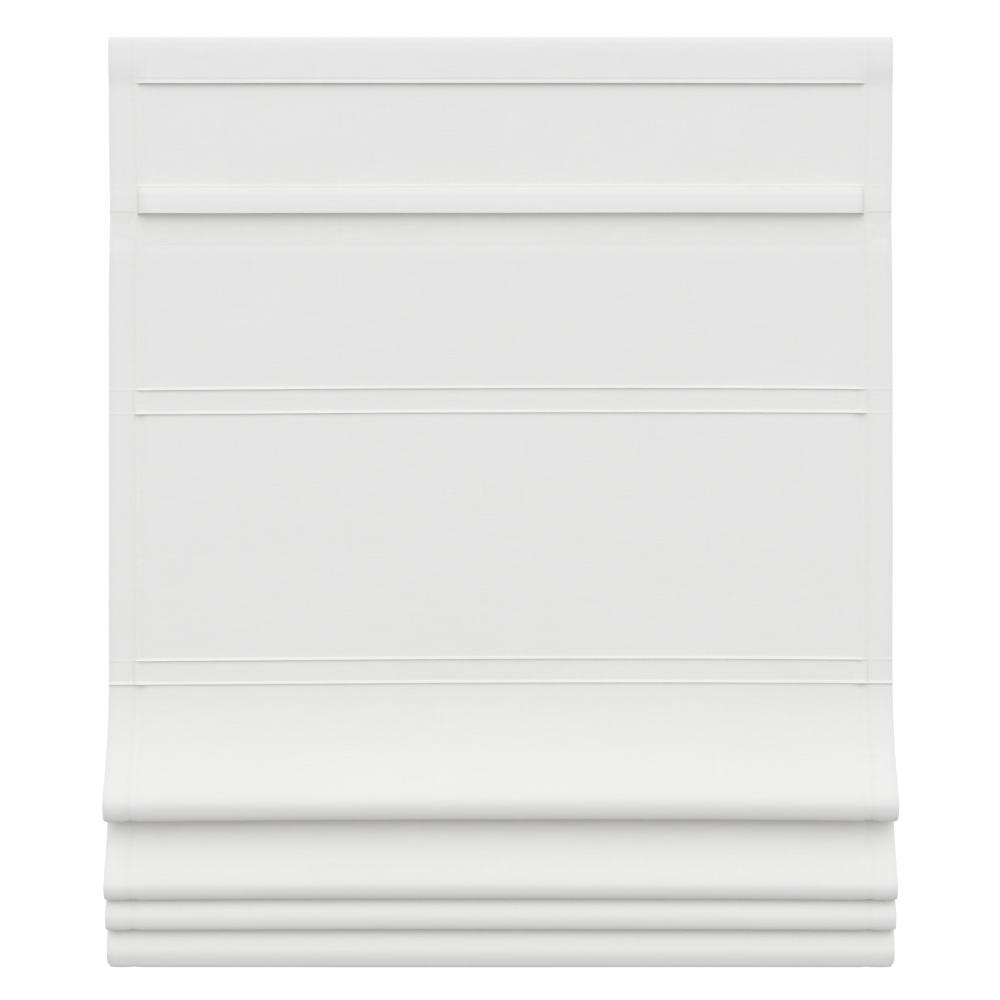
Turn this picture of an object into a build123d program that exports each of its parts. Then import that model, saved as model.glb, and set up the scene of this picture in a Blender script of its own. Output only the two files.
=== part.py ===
from build123d import *
from math import acos, atan2, cos, pi, sin
import os

# Cordless roman blind, half raised: a headrail on two wall brackets carries one cloth with six rib
# pockets. The upper three ribs hang flat, the lower three are gathered behind three soft folds.
# Millimetres. X runs along the rail, +Y into the wall, +Z up; the wall is the plane Y = 0.
# The origin is the centre of the four wall-screw holes.

# ---- overall sizes ----
CLOTH_WIDTH = 800.0
CLOTH_TOP = 24.0
CLOTH_T = 1.0
BODY_GAP = 0.3            # running gap between pieces that move apart
FIT_GAP = 0.2             # gap between pieces that sit in one another

# ---- headrail: extruded channel, open on top between two lips ----
RAIL_SHORTER = 8.0        # cloth width less rail width
RAIL_DEPTH = 33.7
RAIL_TOP = 19.5
RAIL_HEIGHT = 35.5
RAIL_WALL = 1.5
RAIL_LIP = 6.6            # lip measured from the rail's outer face
CAP_T = 3.0
CAP_PLUG = 8.0

# ---- wall brackets and their swivel latches ----
BRACKET_INSET = 60.0      # cloth's edge to the bracket's middle
BRACKET_WIDTH = 40.0
BRACKET_T = 2.0
BRACKET_LEG_T = 1.5
SCREW_SPACING_Z = 20.0
SCREW_R = 2.25
SCREW_EDGE = 3.75         # least steel below a screw hole
CEILING_HOLE_Y = -7.0
LATCH_PLAY = 0.4          # between the latch's round ends and the rail's walls
LATCH_WIDTH = 12.0
LATCH_T = 1.5
LATCH_NECK_R = 3.5
LEVER_LENGTH = 24.0
LEVER_WIDTH = 8.0
LEVER_T = 1.0

# ---- touch tape between rail and cloth ----
TAPE_T = 1.2
TAPE_HEIGHT = 25.0
TAPE_Z = 4.0

# ---- lift shaft, spools, cradles and spring motor ----
SHAFT_R = 3.0
SHAFT_SHORTER = 40.0      # rail width less shaft length
SPOOL_PITCH = 270.0
SPOOL_R = 9.0
SPOOL_RIM = 2.0           # flange above the spool
SPOOL_LENGTH = 34.0
SPOOL_FLANGE_T = 1.5
JOURNAL_R = 5.0
JOURNAL_LENGTH = 4.0
CRADLE_T = 2.0
CRADLE_PLAY = 1.35        # between a cradle and the rail's walls, front and back
CRADLE_CHEEK = 2.0        # cradle above its journal hole
CORD_SLOT = 6.0
MOTOR_LENGTH = 60.0
MOTOR_PLAY = 0.85         # between the motor and the rail's walls
MOTOR_SHELL = 1.9         # thinnest wall round the chamber
MOTOR_WALL = 3.0
MOTOR_LID_T = 2.0
ARBOR_R = 5.0
SPRING_T = 0.5
SPRING_TURNS = 4
SPRING_PLAY = 1.6         # left between the coiled band and the chamber

# ---- ribs, rib pockets and cord rings ----
RIB_HEIGHT = 22.0
RIB_T = 1.6
RIB_SHORTER = 10.0        # cloth width less rib length
POCKET_EASE = 2.0         # pocket's inside height less rib height
POCKET_SLACK = 1.4        # pocket's inside depth less rib thickness
RING_R = 5.0
RING_WIRE_R = 1.0

# ---- header band, and plain cloth above each rib pocket, hanging or gathered ----
HEADER_DROP = 48.0
HEADER_T = 1.6
HANGING_GAPS = [154.5, 178.5, 250.5]
GATHERED_GAPS = [48.5, 59.0, 10.0]

# ---- folds: reach in front of the cloth, and drop from the rib above to the roll's underside ----
FOLD_REACH = [38.0, 31.0, 20.5]
FOLD_FALL = [132.0, 138.0, 86.0]
FOLD_ROLL_R = [11.0, 9.0, 7.0]
FOLD_SWELL = [1.85, 2.4, 1.0]   # how late each fold swings forward as it comes down

# ---- bottom panel below the lowest rib, its hem and the bar in it ----
PANEL_DROP = 90.0
PANEL_REACH = 5.5
BAR_HEIGHT = 12.0
BAR_T = 3.0
BAR_SHORTER = 8.0         # cloth width less bottom bar with its caps
BAR_CAP_T = 3.0
HEM_EASE = 2.0            # hem's inside height less bar height
HEM_SLACK = 1.0           # hem's inside depth less bar thickness

# ---- places that follow from the sizes above ----
RAIL_BACK = -(BRACKET_T + BODY_GAP)
RAIL_FRONT = RAIL_BACK - RAIL_DEPTH
RAIL_MID = (RAIL_BACK + RAIL_FRONT) / 2
RAIL_BOTTOM = RAIL_TOP - RAIL_HEIGHT
RAIL_FLOOR = RAIL_BOTTOM + RAIL_WALL
RAIL_LENGTH = CLOTH_WIDTH - RAIL_SHORTER - 2 * CAP_T
RAIL_INSIDE = RAIL_DEPTH - 2 * RAIL_WALL
RAIL_CEILING = RAIL_TOP - RAIL_WALL
BRACKET_SPACING = CLOTH_WIDTH - 2 * BRACKET_INSET
BRACKET_BOTTOM = min(RAIL_BOTTOM, -SCREW_SPACING_Z / 2 - SCREW_R - SCREW_EDGE)
SHAFT_Z = (RAIL_FLOOR + RAIL_CEILING) / 2
SPOOL_FLANGE_R = SPOOL_R + SPOOL_RIM
MOTOR_X = SPOOL_PITCH / 2
LATCH_R = RAIL_INSIDE / 2 - LATCH_PLAY
CRADLE_DEPTH = RAIL_INSIDE - 2 * CRADLE_PLAY
CRADLE_TOP = SHAFT_Z + JOURNAL_R + FIT_GAP + CRADLE_CHEEK
MOTOR_DEPTH = RAIL_INSIDE - 2 * MOTOR_PLAY
MOTOR_CAVITY_R = min(MOTOR_DEPTH, RAIL_CEILING - RAIL_FLOOR) / 2 - MOTOR_SHELL
SPRING_PITCH = (MOTOR_CAVITY_R - ARBOR_R - SPRING_PLAY) / SPRING_TURNS
POCKET_HEIGHT = RIB_HEIGHT + POCKET_EASE + 2 * CLOTH_T
POCKET_DEPTH = RIB_T + POCKET_SLACK + CLOTH_T
HEM_HEIGHT = BAR_HEIGHT + HEM_EASE + 2 * CLOTH_T
HEM_DEPTH = BAR_T + HEM_SLACK + 2 * CLOTH_T
CLOTH_BACK = RAIL_FRONT - 2 * TAPE_T
CLOTH_MID = CLOTH_BACK - CLOTH_T / 2
CLOTH_FRONT = CLOTH_BACK - CLOTH_T
POCKET_BACK = CLOTH_BACK + POCKET_DEPTH
RING_Y = POCKET_BACK + RING_R + RING_WIRE_R + FIT_GAP
SPOOL_XS = [-SPOOL_PITCH, 0.0, SPOOL_PITCH]
LEG_BOTTOM = RAIL_TOP + BODY_GAP
LEG_TOP = LEG_BOTTOM + BRACKET_LEG_T

# drops below the cloth's top: of each hanging and gathered pocket, each roll and the hem
RIB_DROPS = []
STACK_DROPS = []
drop = 0.0
for gap in HANGING_GAPS:
    drop += gap
    RIB_DROPS.append(drop)
    drop += POCKET_HEIGHT
for gap in GATHERED_GAPS:
    drop += gap
    STACK_DROPS.append(drop)
    drop += POCKET_HEIGHT
HEM_BOTTOM = drop + PANEL_DROP
FOLD_STARTS = [top + POCKET_HEIGHT for top in [RIB_DROPS[-1]] + STACK_DROPS[:2]]
FOLD_BOTTOM = [start + fall for start, fall in zip(FOLD_STARTS, FOLD_FALL)]


def block(x0, x1, y0, y1, z0, z1):
    """A plain box between two corners."""
    size = (abs(x1 - x0), abs(y1 - y0), abs(z1 - z0))
    return Pos((x0 + x1) / 2, (y0 + y1) / 2, (z0 + z1) / 2) * Box(*size)


def rod_x(radius, x0, x1, y=RAIL_MID, z=SHAFT_Z):
    """A round bar that lies along X."""
    return Pos((x0 + x1) / 2, y, z) * Rot(0, 90, 0) * Cylinder(radius, x1 - x0)


def across(profile, width):
    """A profile in the YZ plane, extruded to both sides of the blind's middle."""
    return extrude(Plane.YZ * profile, amount=width / 2, both=True)


def side_splines(points, start_way, end_way):
    """Both faces of the cloth along a side-view line of (forward, drop) points."""
    line = [(CLOTH_MID - forward, CLOTH_TOP - drop) for forward, drop in points]
    middle = Spline(*line, tangents=[start_way, end_way])
    near = []
    far = []
    for i in range(4 * len(line) + 1):
        here = middle @ (i / (4 * len(line)))
        way = middle % (i / (4 * len(line)))
        near.append((here.X + way.Y * CLOTH_T / 2, here.Y - way.X * CLOTH_T / 2))
        far.append((here.X - way.Y * CLOTH_T / 2, here.Y + way.X * CLOTH_T / 2))
    return near, far


def panel_band(points):
    """A single curved panel of cloth that starts straight down."""
    last = (points[-2][0] - points[-1][0], points[-2][1] - points[-1][1])
    near, far = side_splines(points, (0, -1), last)
    outline = [Spline(*near), Line(near[-1], far[-1]), Spline(*far), Line(far[0], near[0])]
    return across(make_face(outline), CLOTH_WIDTH)


def fold_band(start, reach, bottom, roll_r, swell, end):
    """One soft fold: down from a rib, forward, round a roll and straight up to the rib below."""
    fall = bottom - roll_r - start
    steps = [0.0, 0.25, 0.5, 0.75, 1.0]
    front = [(reach * step ** swell, start + fall * step) for step in steps]
    near, far = side_splines(front, (-front[1][0], start - front[1][1]), (0, -1))

    # the roll's centre, and where the straight back leaves it for the pocket's front
    cy = CLOTH_MID - reach + roll_r
    cz = CLOTH_TOP - bottom + roll_r
    end_y = CLOTH_MID - CLOTH_T - BODY_GAP
    ty = end_y - cy
    tz = CLOTH_TOP - end - cz
    reach_back = (ty ** 2 + tz ** 2) ** 0.5
    turn = atan2(tz, ty) - acos(roll_r / reach_back)
    ny = cos(turn)
    nz = sin(turn)
    mid = (turn - pi) / 2
    edges = []
    for r, side in [(roll_r + CLOTH_T / 2, near), (roll_r - CLOTH_T / 2, far)]:
        top = (end_y + (r - roll_r) * ny, CLOTH_TOP - end + (r - roll_r) * nz)
        leave = (cy + r * ny, cz + r * nz)
        under = (cy + r * cos(mid), cz + r * sin(mid))
        edges += [Spline(*side), ThreePointArc(side[-1], under, leave), Line(leave, top)]
    edges.append(Line(near[0], far[0]))
    edges.append(Line(edges[2] @ 1, edges[5] @ 1))
    return across(make_face(edges), CLOTH_WIDTH)


def rib_pocket(drop):
    """Pocket sewn on the back of the cloth: a flat tube, open at both ends."""
    top = CLOTH_TOP - drop
    outer = block(-CLOTH_WIDTH / 2, CLOTH_WIDTH / 2, CLOTH_FRONT, POCKET_BACK, top - POCKET_HEIGHT, top)
    inner = block(-CLOTH_WIDTH, CLOTH_WIDTH, CLOTH_BACK, POCKET_BACK - CLOTH_T,
                  top - POCKET_HEIGHT + CLOTH_T, top - CLOTH_T)
    return outer - inner


def rib_slat(drop):
    """Flat rib that stands on its pocket's floor."""
    floor = CLOTH_TOP - drop - POCKET_HEIGHT + CLOTH_T
    half = (CLOTH_WIDTH - RIB_SHORTER) / 2
    middle = (CLOTH_BACK + POCKET_BACK - CLOTH_T) / 2
    slat = block(-half, half, middle - RIB_T / 2, middle + RIB_T / 2, floor, floor + RIB_HEIGHT)
    return fillet(slat.edges().filter_by(Axis.Y), 3.0)


def rib_rings(drop):
    """Cord rings sewn to a pocket's back, one below each spool."""
    z = CLOTH_TOP - drop - POCKET_HEIGHT / 2
    return Compound([Pos(x, RING_Y, z) * Torus(RING_R, RING_WIRE_R) for x in SPOOL_XS])


parts = {}

# ---- headrail: one aluminium extrusion, slotted in its floor below each spool ----
rail = block(-RAIL_LENGTH / 2, RAIL_LENGTH / 2, RAIL_FRONT, RAIL_BACK, RAIL_BOTTOM, RAIL_TOP)
rail -= block(-RAIL_LENGTH, RAIL_LENGTH, RAIL_FRONT + RAIL_WALL, RAIL_BACK - RAIL_WALL,
              RAIL_FLOOR, RAIL_TOP - RAIL_WALL)
rail -= block(-RAIL_LENGTH, RAIL_LENGTH, RAIL_FRONT + RAIL_LIP, RAIL_BACK - RAIL_LIP,
              RAIL_FLOOR, RAIL_TOP + RAIL_WALL)
CORD_Y = RAIL_MID - SPOOL_R
for x in SPOOL_XS:
    rail -= block(x - SPOOL_LENGTH / 2, x + SPOOL_LENGTH / 2, CORD_Y - CORD_SLOT / 2,
                  CORD_Y + CORD_SLOT / 2, RAIL_BOTTOM - 1, RAIL_FLOOR + 1)
parts["headrail"] = rail

# ---- moulded end caps: a plate the shape of the rail, with a plug inside it ----
for side, name in [(-1, "left"), (1, "right")]:
    end = side * RAIL_LENGTH / 2
    plate = block(end, end + side * CAP_T, RAIL_FRONT, RAIL_BACK, RAIL_BOTTOM, RAIL_TOP)
    plate = fillet(plate.edges().filter_by(Axis.X), 2.0)
    inset = RAIL_WALL + FIT_GAP
    plug = block(end, end - side * CAP_PLUG, RAIL_FRONT + inset, RAIL_BACK - inset,
                 RAIL_BOTTOM + inset, RAIL_TOP - inset)
    plug -= block(end - side * 2, end - side * 2 * CAP_PLUG, RAIL_FRONT + inset + 2, RAIL_BACK - inset - 2,
                  RAIL_BOTTOM + inset + 2, RAIL_TOP)
    parts[f"headrail_end_cap_{name}"] = plate + plug

# ---- wall brackets: bent steel, two screw holes in the back, a latch pivot in the top leg ----
for side, name in [(-1, "left"), (1, "right")]:
    x = side * BRACKET_SPACING / 2
    back = block(x - BRACKET_WIDTH / 2, x + BRACKET_WIDTH / 2, -BRACKET_T, 0, BRACKET_BOTTOM, LEG_TOP)
    leg = block(x - BRACKET_WIDTH / 2, x + BRACKET_WIDTH / 2, RAIL_FRONT + 1, 0, LEG_BOTTOM, LEG_TOP)
    bracket = back + leg
    bracket = fillet(bracket.edges().filter_by(Axis.X).group_by(Axis.Y)[-1].sort_by(Axis.Z)[-1], 1.2)
    for z in (-SCREW_SPACING_Z / 2, SCREW_SPACING_Z / 2):
        bracket -= Pos(x, 0, z) * Rot(90, 0, 0) * Cylinder(SCREW_R, 3 * BRACKET_T)
    bracket -= Pos(x, CEILING_HOLE_Y, LEG_TOP) * Cylinder(SCREW_R, 4 * BRACKET_LEG_T)
    bracket -= Pos(x, RAIL_MID, LEG_TOP) * Cylinder(LATCH_NECK_R + BODY_GAP, 4 * BRACKET_LEG_T)
    parts[f"wall_bracket_{name}"] = bracket

    # swivel latch: its cam turns under the rail's lips, its lever lies on the bracket's leg
    cam_top = RAIL_TOP - RAIL_WALL - BODY_GAP
    cam = Pos(x, RAIL_MID, cam_top - LATCH_T / 2) * Cylinder(LATCH_R, LATCH_T)
    cam &= block(x - LATCH_WIDTH / 2, x + LATCH_WIDTH / 2, 2 * RAIL_FRONT, 0, cam_top - LATCH_T, cam_top)
    lever_z = LEG_TOP + BODY_GAP
    neck = Pos(x, RAIL_MID, (cam_top + lever_z) / 2) * Cylinder(LATCH_NECK_R, lever_z - cam_top)
    lever = block(x, x - side * LEVER_LENGTH, RAIL_MID - LEVER_WIDTH / 2, RAIL_MID + LEVER_WIDTH / 2,
                  lever_z, lever_z + LEVER_T)
    head = Pos(x, RAIL_MID, lever_z + LEVER_T / 2) * Cylinder(LATCH_NECK_R + 2.5, LEVER_T)
    parts[f"bracket_latch_{name}"] = cam + neck + lever + head

# ---- touch tape: the hook half on the rail, the loop half on the cloth ----
tape_half = RAIL_LENGTH / 2
tape = block(-tape_half, tape_half, RAIL_FRONT - TAPE_T, RAIL_FRONT, TAPE_Z - TAPE_HEIGHT / 2,
             TAPE_Z + TAPE_HEIGHT / 2)
parts["hook_tape"] = tape
parts["loop_tape"] = Pos(0, -TAPE_T, 0) * tape

# ---- lift shaft, with a spool on it above each row of rings, turning in cradles on the rail's floor ----
shaft_half = (RAIL_LENGTH - SHAFT_SHORTER) / 2
parts["lift_shaft"] = rod_x(SHAFT_R, -shaft_half, shaft_half)
for x, name in zip(SPOOL_XS, ["left", "centre", "right"]):
    half = SPOOL_LENGTH / 2
    spool = rod_x(SPOOL_R, x - half, x + half)
    spool += rod_x(SPOOL_FLANGE_R, x - half, x - half + SPOOL_FLANGE_T)
    spool += rod_x(SPOOL_FLANGE_R, x + half - SPOOL_FLANGE_T, x + half)
    spool += rod_x(JOURNAL_R, x - half - JOURNAL_LENGTH, x + half + JOURNAL_LENGTH)
    spool -= rod_x(SHAFT_R, x - 2 * half, x + 2 * half)
    parts[f"cord_spool_{name}"] = spool

    wall_in = half + BODY_GAP
    wall_out = wall_in + CRADLE_T
    near = RAIL_MID - CRADLE_DEPTH / 2
    far = RAIL_MID + CRADLE_DEPTH / 2
    cradle = block(x - wall_out, x + wall_out, near, far, RAIL_FLOOR, CRADLE_TOP)
    cradle -= block(x - wall_in, x + wall_in, 2 * near, 0, RAIL_FLOOR + CRADLE_T, CRADLE_TOP + 1)
    cradle -= rod_x(JOURNAL_R + FIT_GAP, x - 2 * wall_out, x + 2 * wall_out)
    cradle -= block(x - half, x + half, CORD_Y - CORD_SLOT / 2, CORD_Y + CORD_SLOT / 2,
                    RAIL_FLOOR - 1, RAIL_FLOOR + CRADLE_T + 1)
    parts[f"spool_cradle_{name}"] = cradle

# ---- spring motor: a housing with a round chamber, a lid, an arbor on the shaft and a coiled band ----
motor_end = MOTOR_X + MOTOR_LENGTH
motor_top = SHAFT_Z + MOTOR_CAVITY_R + MOTOR_SHELL / 2
housing = block(MOTOR_X, motor_end, RAIL_MID - MOTOR_DEPTH / 2, RAIL_MID + MOTOR_DEPTH / 2,
                RAIL_FLOOR, motor_top)
housing -= rod_x(MOTOR_CAVITY_R, MOTOR_X + MOTOR_WALL, motor_end + 1)
housing -= rod_x(SHAFT_R + FIT_GAP, MOTOR_X - 1, motor_end)
parts["motor_housing"] = housing
lid = block(motor_end, motor_end + MOTOR_LID_T, RAIL_MID - MOTOR_DEPTH / 2, RAIL_MID + MOTOR_DEPTH / 2,
            RAIL_FLOOR, motor_top)
lid -= rod_x(SHAFT_R + FIT_GAP, MOTOR_X, motor_end + 2 * MOTOR_LID_T)
parts["motor_lid"] = lid
arbor_x0 = MOTOR_X + MOTOR_WALL + BODY_GAP
arbor = rod_x(ARBOR_R, arbor_x0, motor_end - BODY_GAP)
parts["motor_arbor"] = arbor - rod_x(SHAFT_R, MOTOR_X, motor_end + 1)

# the band is wound as half circles, each a half pitch larger than the one before
band = []
radius = ARBOR_R + BODY_GAP + SPRING_T / 2
edge = -radius
for turn in range(2 * SPRING_TURNS):
    way = 1 if turn % 2 == 0 else -1
    middle = edge + way * radius
    ring = Circle(radius + SPRING_T / 2) - Circle(radius - SPRING_T / 2)
    half_plane = Pos(0, way * 2 * MOTOR_DEPTH) * Rectangle(8 * MOTOR_DEPTH, 4 * MOTOR_DEPTH)
    band.append(Pos(middle, 0) * (ring & half_plane))
    edge = edge + way * 2 * radius
    radius += SPRING_PITCH / 2
spiral = Sketch() + band
spiral = Plane.YZ * Pos(RAIL_MID, SHAFT_Z) * spiral
spring = extrude(spiral, amount=MOTOR_LENGTH - MOTOR_WALL - 2 * BODY_GAP)
parts["motor_spring"] = Pos(arbor_x0, 0, 0) * spring

# ---- cloth above the folds: header turned over at the top, three rib pockets behind ----
half = CLOTH_WIDTH / 2
upper = block(-half, half, CLOTH_FRONT, CLOTH_BACK, CLOTH_TOP - FOLD_STARTS[0], CLOTH_TOP)
upper += block(-half, half, CLOTH_FRONT - HEADER_T, CLOTH_FRONT, CLOTH_TOP - HEADER_DROP, CLOTH_TOP)
top_edge = upper.edges().filter_by(Axis.X).sort_by(Axis.Y)[0:2].sort_by(Axis.Z)[-1]
upper = fillet(top_edge, HEADER_T)
for drop in RIB_DROPS:
    upper += rib_pocket(drop)
parts["cloth_upper"] = upper

# ---- folds: each hangs from the rib above it and comes up behind to the top of the next pocket ----
SEWN_IN = 0.2             # how far a band's top runs into the pocket that it hangs from
starts = [FOLD_STARTS[0] + BODY_GAP, FOLD_STARTS[1] - SEWN_IN, FOLD_STARTS[2] - SEWN_IN]
bands = []
for i in range(3):
    top = STACK_DROPS[i] - BODY_GAP
    bands.append(fold_band(starts[i], FOLD_REACH[i], FOLD_BOTTOM[i], FOLD_ROLL_R[i], FOLD_SWELL[i], top))
parts["cloth_fold_1"] = bands[0]
parts["cloth_fold_2"] = bands[1] + rib_pocket(STACK_DROPS[0])
parts["cloth_fold_3"] = bands[2] + rib_pocket(STACK_DROPS[1])

# ---- bottom panel: lowest pocket, a short curved panel and the hem tube round the bottom bar ----
hem_top = HEM_BOTTOM - HEM_HEIGHT
panel_start = STACK_DROPS[2] + POCKET_HEIGHT - SEWN_IN
panel_fall = hem_top - panel_start
panel = panel_band([
    (0.0, panel_start),
    (0.08 * PANEL_REACH, panel_start + 0.25 * panel_fall),
    (0.22 * PANEL_REACH, panel_start + 0.50 * panel_fall),
    (0.64 * PANEL_REACH, panel_start + 0.80 * panel_fall),
    (PANEL_REACH, hem_top + SEWN_IN),
])
hem_y = CLOTH_MID - PANEL_REACH
hem = block(-half, half, hem_y - HEM_DEPTH / 2, hem_y + HEM_DEPTH / 2,
            CLOTH_TOP - HEM_BOTTOM, CLOTH_TOP - hem_top)
hem = fillet(hem.edges().filter_by(Axis.X), HEM_DEPTH / 2 - 0.5)
hem -= block(-CLOTH_WIDTH, CLOTH_WIDTH, hem_y - HEM_DEPTH / 2 + CLOTH_T, hem_y + HEM_DEPTH / 2 - CLOTH_T,
             CLOTH_TOP - HEM_BOTTOM + CLOTH_T, CLOTH_TOP - hem_top - CLOTH_T)
parts["cloth_bottom"] = rib_pocket(STACK_DROPS[2]) + panel + hem

# ---- bottom bar in the hem tube, with a cap on each end ----
bar_z = CLOTH_TOP - HEM_BOTTOM + CLOTH_T
bar_half = (CLOTH_WIDTH - BAR_SHORTER) / 2 - BAR_CAP_T
parts["bottom_bar"] = block(-bar_half, bar_half, hem_y - BAR_T / 2, hem_y + BAR_T / 2,
                            bar_z, bar_z + BAR_HEIGHT)
for side, name in [(-1, "left"), (1, "right")]:
    cap = block(side * bar_half, side * (bar_half + BAR_CAP_T), hem_y - BAR_T / 2, hem_y + BAR_T / 2,
                bar_z, bar_z + BAR_HEIGHT)
    parts[f"bottom_bar_cap_{name}"] = fillet(cap.edges().filter_by(Axis.Y).group_by(Axis.X)[side], 1.5)

# ---- ribs and rings ----
for i, drop in enumerate(RIB_DROPS + STACK_DROPS, start=1):
    parts[f"rib_slat_{i}"] = rib_slat(drop)
    parts[f"rib_rings_{i}"] = rib_rings(drop)

os.makedirs("parts", exist_ok=True)
for name, shape in parts.items():
    export_step(shape, f"parts/{name}.step")
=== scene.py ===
import math

import bpy
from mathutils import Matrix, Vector, noise


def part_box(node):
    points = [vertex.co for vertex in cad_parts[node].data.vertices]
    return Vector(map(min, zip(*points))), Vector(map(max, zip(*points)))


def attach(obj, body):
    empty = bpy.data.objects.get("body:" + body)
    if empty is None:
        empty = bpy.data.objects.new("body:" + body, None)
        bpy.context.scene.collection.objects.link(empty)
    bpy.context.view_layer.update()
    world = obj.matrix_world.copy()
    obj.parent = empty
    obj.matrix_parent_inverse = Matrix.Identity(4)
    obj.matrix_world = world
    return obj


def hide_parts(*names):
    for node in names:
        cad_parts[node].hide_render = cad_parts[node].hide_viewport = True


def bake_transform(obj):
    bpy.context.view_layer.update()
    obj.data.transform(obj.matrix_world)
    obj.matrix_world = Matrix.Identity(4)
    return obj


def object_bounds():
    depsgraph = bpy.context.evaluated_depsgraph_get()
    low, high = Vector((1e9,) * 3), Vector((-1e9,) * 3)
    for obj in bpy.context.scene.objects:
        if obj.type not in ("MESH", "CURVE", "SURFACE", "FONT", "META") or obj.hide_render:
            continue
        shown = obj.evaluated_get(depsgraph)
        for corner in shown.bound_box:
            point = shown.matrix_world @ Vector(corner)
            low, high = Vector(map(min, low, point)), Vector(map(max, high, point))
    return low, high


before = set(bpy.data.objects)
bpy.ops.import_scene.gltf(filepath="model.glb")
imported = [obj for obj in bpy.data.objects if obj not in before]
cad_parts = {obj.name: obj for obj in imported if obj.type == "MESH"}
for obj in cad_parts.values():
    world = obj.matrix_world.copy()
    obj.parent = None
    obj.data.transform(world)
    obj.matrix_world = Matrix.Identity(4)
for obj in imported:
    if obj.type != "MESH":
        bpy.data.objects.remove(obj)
cad_low, cad_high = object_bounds()

# ---------------------------------------------------------------------------------------------
# Studio: a pale floor under the blind, an open white surround and one broad soft light high in
# front. The camera stands a little over 2 m in front, level with the blind's middle.
# ---------------------------------------------------------------------------------------------
CAMERA_AWAY = 2.25
FACE_Y = cad_low.y + 0.0383
EYE_LEVEL = cad_high.z - 0.4725
camera_data = bpy.data.cameras.new("camera")
camera_data.sensor_width = 36.0
camera_data.lens = 79.38
camera_data.clip_end = 50.0
camera = bpy.data.objects.new("camera", camera_data)
camera.location = (-0.0007, FACE_Y - CAMERA_AWAY, EYE_LEVEL)
camera.rotation_euler = (math.radians(90), 0, 0)
bpy.context.scene.collection.objects.link(camera)
bpy.context.scene.camera = camera
bpy.context.scene.view_settings.view_transform = "Standard"
bpy.context.scene.view_settings.look = "None"

world = bpy.data.worlds.new("surround")
world.use_nodes = True
bpy.context.scene.world = world
world_nodes = world.node_tree.nodes
world_links = world.node_tree.links
backdrop = world_nodes["Background"]
backdrop.inputs["Color"].default_value = (1.0, 1.0, 1.0, 1.0)
backdrop.inputs["Strength"].default_value = 1.02
fill = world_nodes.new("ShaderNodeBackground")
fill.inputs["Color"].default_value = (0.976, 0.995, 1.036, 1.0)
fill.inputs["Strength"].default_value = 0.685
who_looks = world_nodes.new("ShaderNodeLightPath")
choose = world_nodes.new("ShaderNodeMixShader")
world_links.new(who_looks.outputs["Is Camera Ray"], choose.inputs["Fac"])
world_links.new(fill.outputs["Background"], choose.inputs[1])
world_links.new(backdrop.outputs["Background"], choose.inputs[2])
world_links.new(choose.outputs["Shader"], world_nodes["World Output"].inputs["Surface"])

key = bpy.data.lights.new("key_light", "SUN")
KEY_ELEVATION = 36
key.energy = 1.335
key.color = (0.992, 1.0, 1.018)
key.angle = math.radians(75)
key_lamp = bpy.data.objects.new("key_light", key)
key_lamp.location = (0.0, -3.0, 1.6)
key_lamp.rotation_euler = (math.radians(90 - KEY_ELEVATION), 0, 0)
bpy.context.scene.collection.objects.link(key_lamp)

FLOOR_RADIUS = 2.6
FLOOR_Z = -1.66
FLOOR_SIDES = 96
floor_mesh = bpy.data.meshes.new("floor")
rim = [(FLOOR_RADIUS * math.cos(k * math.tau / FLOOR_SIDES),
        FLOOR_RADIUS * math.sin(k * math.tau / FLOOR_SIDES), FLOOR_Z) for k in range(FLOOR_SIDES)]
floor_mesh.from_pydata(rim, [], [list(range(FLOOR_SIDES))])
floor = bpy.data.objects.new("floor", floor_mesh)
bpy.context.scene.collection.objects.link(floor)
floor_paint = bpy.data.materials.new("floor_paint")
floor_paint.use_nodes = True
floor_skin = floor_paint.node_tree.nodes["Principled BSDF"]
floor_skin.inputs["Base Color"].default_value = (0.50, 0.50, 0.495, 1)
floor_skin.inputs["Roughness"].default_value = 0.85
floor_mesh.materials.append(floor_paint)

# ---------------------------------------------------------------------------------------------
# Wall brackets: bent steel strips in a slightly pebbled white powder coat, screwed to the wall
# through the back leg.
# ---------------------------------------------------------------------------------------------


def effect_group(name, inputs, outputs):
    """An empty shader group with float or vector inputs and named outputs."""
    group = bpy.data.node_groups.new(name, "ShaderNodeTree")
    for label, kind, value in inputs:
        made = group.interface.new_socket(name=label, in_out="INPUT", socket_type=kind)
        if value is not None:
            made.default_value = value
    for label, kind in outputs:
        group.interface.new_socket(name=label, in_out="OUTPUT", socket_type=kind)
    return group, group.nodes.new("NodeGroupInput"), group.nodes.new("NodeGroupOutput")


pebble, pebble_in, pebble_out = effect_group(
    "coat_pebble",
    [("Vector", "NodeSocketVector", None), ("Grain Size", "NodeSocketFloat", 900.0)],
    [("Height", "NodeSocketFloat"), ("Mottle", "NodeSocketFloat")],
)
fine = pebble.nodes.new("ShaderNodeTexNoise")
fine.inputs["Detail"].default_value = 3.0
pebble.links.new(pebble_in.outputs["Vector"], fine.inputs["Vector"])
pebble.links.new(pebble_in.outputs["Grain Size"], fine.inputs["Scale"])
pebble.links.new(fine.outputs["Fac"], pebble_out.inputs["Height"])
broad = pebble.nodes.new("ShaderNodeTexNoise")
broad.inputs["Scale"].default_value = 9.0
broad.inputs["Detail"].default_value = 4.0
pebble.links.new(pebble_in.outputs["Vector"], broad.inputs["Vector"])
pebble.links.new(broad.outputs["Fac"], pebble_out.inputs["Mottle"])


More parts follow.
